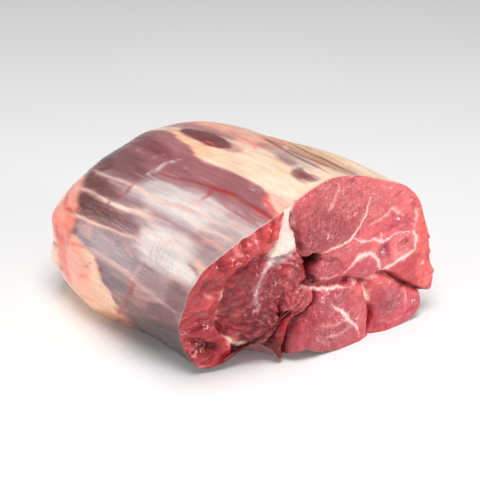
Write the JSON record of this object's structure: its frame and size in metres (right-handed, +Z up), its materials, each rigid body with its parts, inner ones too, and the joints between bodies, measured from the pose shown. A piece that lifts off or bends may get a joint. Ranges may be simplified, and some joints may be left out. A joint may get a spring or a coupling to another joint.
{
  "type": "raw boneless beef shank",
  "caption": "Raw boneless beef shank: a short thick roll of leg muscle in silvery skin and fat, with the marbled red meat showing at its cut ends.",
  "frame": {"origin": "under the middle of the shank, on the surface that it lies on", "axes": "+X across the shank, to the right as seen from its front cut; +Y along the muscles, from the front cut to the back one; +Z up"},
  "size_m": [0.1423, 0.1583, 0.0999],
  "materials": {
    "meat": "moist raw meat under silvery skin and cream fat"
  },
  "bodies": {
    "root": {"shank": "meat"}
  },
  "joints": []
}
